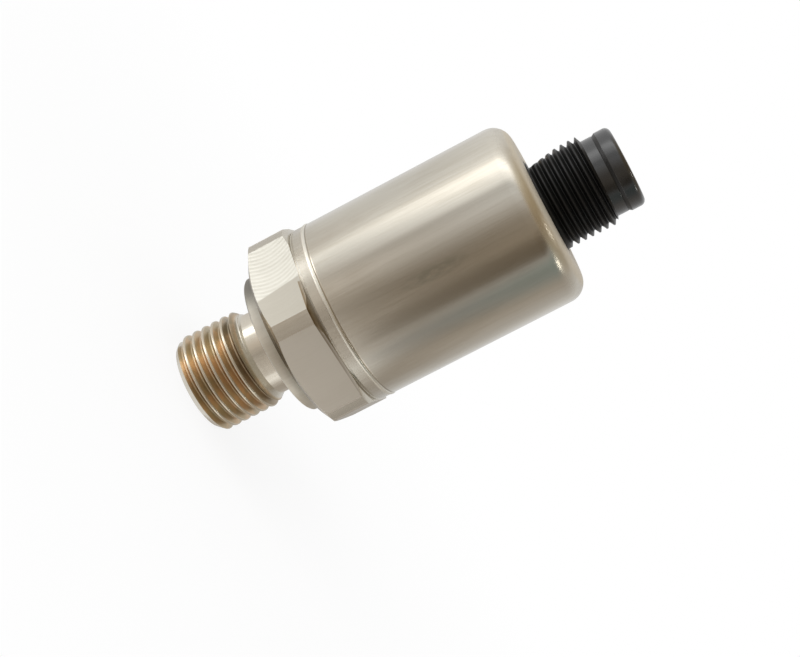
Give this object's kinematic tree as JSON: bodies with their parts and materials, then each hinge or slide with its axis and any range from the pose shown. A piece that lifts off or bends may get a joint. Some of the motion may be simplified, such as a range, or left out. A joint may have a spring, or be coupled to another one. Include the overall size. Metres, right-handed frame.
{
  "type": "pressure transmitter",
  "caption": "Cylindrical steel pressure transmitter: threaded process stud with sealing shoulder, wrench hexagon, deep-drawn can and threaded plug connector.",
  "frame": {"origin": "centre of the front face of the process stud, on which the transmitter stands", "axes": "+Z along the axis, from the process thread to the connector; +X along the normal of a hexagon flat; +Y towards the connector's key and a hexagon corner"},
  "size_m": [0.0242, 0.0266, 0.0612],
  "materials": {
    "port_steel": "turned and milled stainless steel, slightly warm",
    "can_steel": "deep-drawn stainless steel, polished along the axis",
    "connector_plastic": "black glass-filled moulding",
    "carrier_plastic": "black moulding",
    "contact_gold": "gold-plated brass",
    "seal_rubber": "black elastomer",
    "cell_ceramic": "fired alumina, white and matt",
    "tinned_metal": "tinned",
    "ring_steel": "blackened spring steel",
    "sleeve_plastic": "natural moulding",
    "board_laminate": "green solder mask",
    "chip_mould": "black moulding compound",
    "capacitor_ceramic": "fired body, tan"
  },
  "bodies": {
    "root": {"amplifier_chip": "chip_mould", "amplifier_leads": "tinned_metal", "chip_capacitors": "capacitor_ceramic", "chip_resistors": "chip_mould", "clamp_ring": "ring_steel", "connector_o_ring": "seal_rubber", "connector_shell": "connector_plastic", "contact_board": "board_laminate", "contact_carrier": "carrier_plastic", "contact_pin_1": "contact_gold", "contact_pin_2": "contact_gold", "contact_pin_3": "contact_gold", "contact_pin_4": "contact_gold", "housing_can": "can_steel", "insulating_sleeve": "sleeve_plastic", "main_board": "board_laminate", "port_body": "port_steel", "sensor_base": "cell_ceramic", "sensor_diaphragm": "cell_ceramic", "sensor_o_ring": "seal_rubber", "sensor_pins": "tinned_metal", "snap_ring": "ring_steel", "suppressor_diode": "chip_mould"}
  },
  "joints": []
}
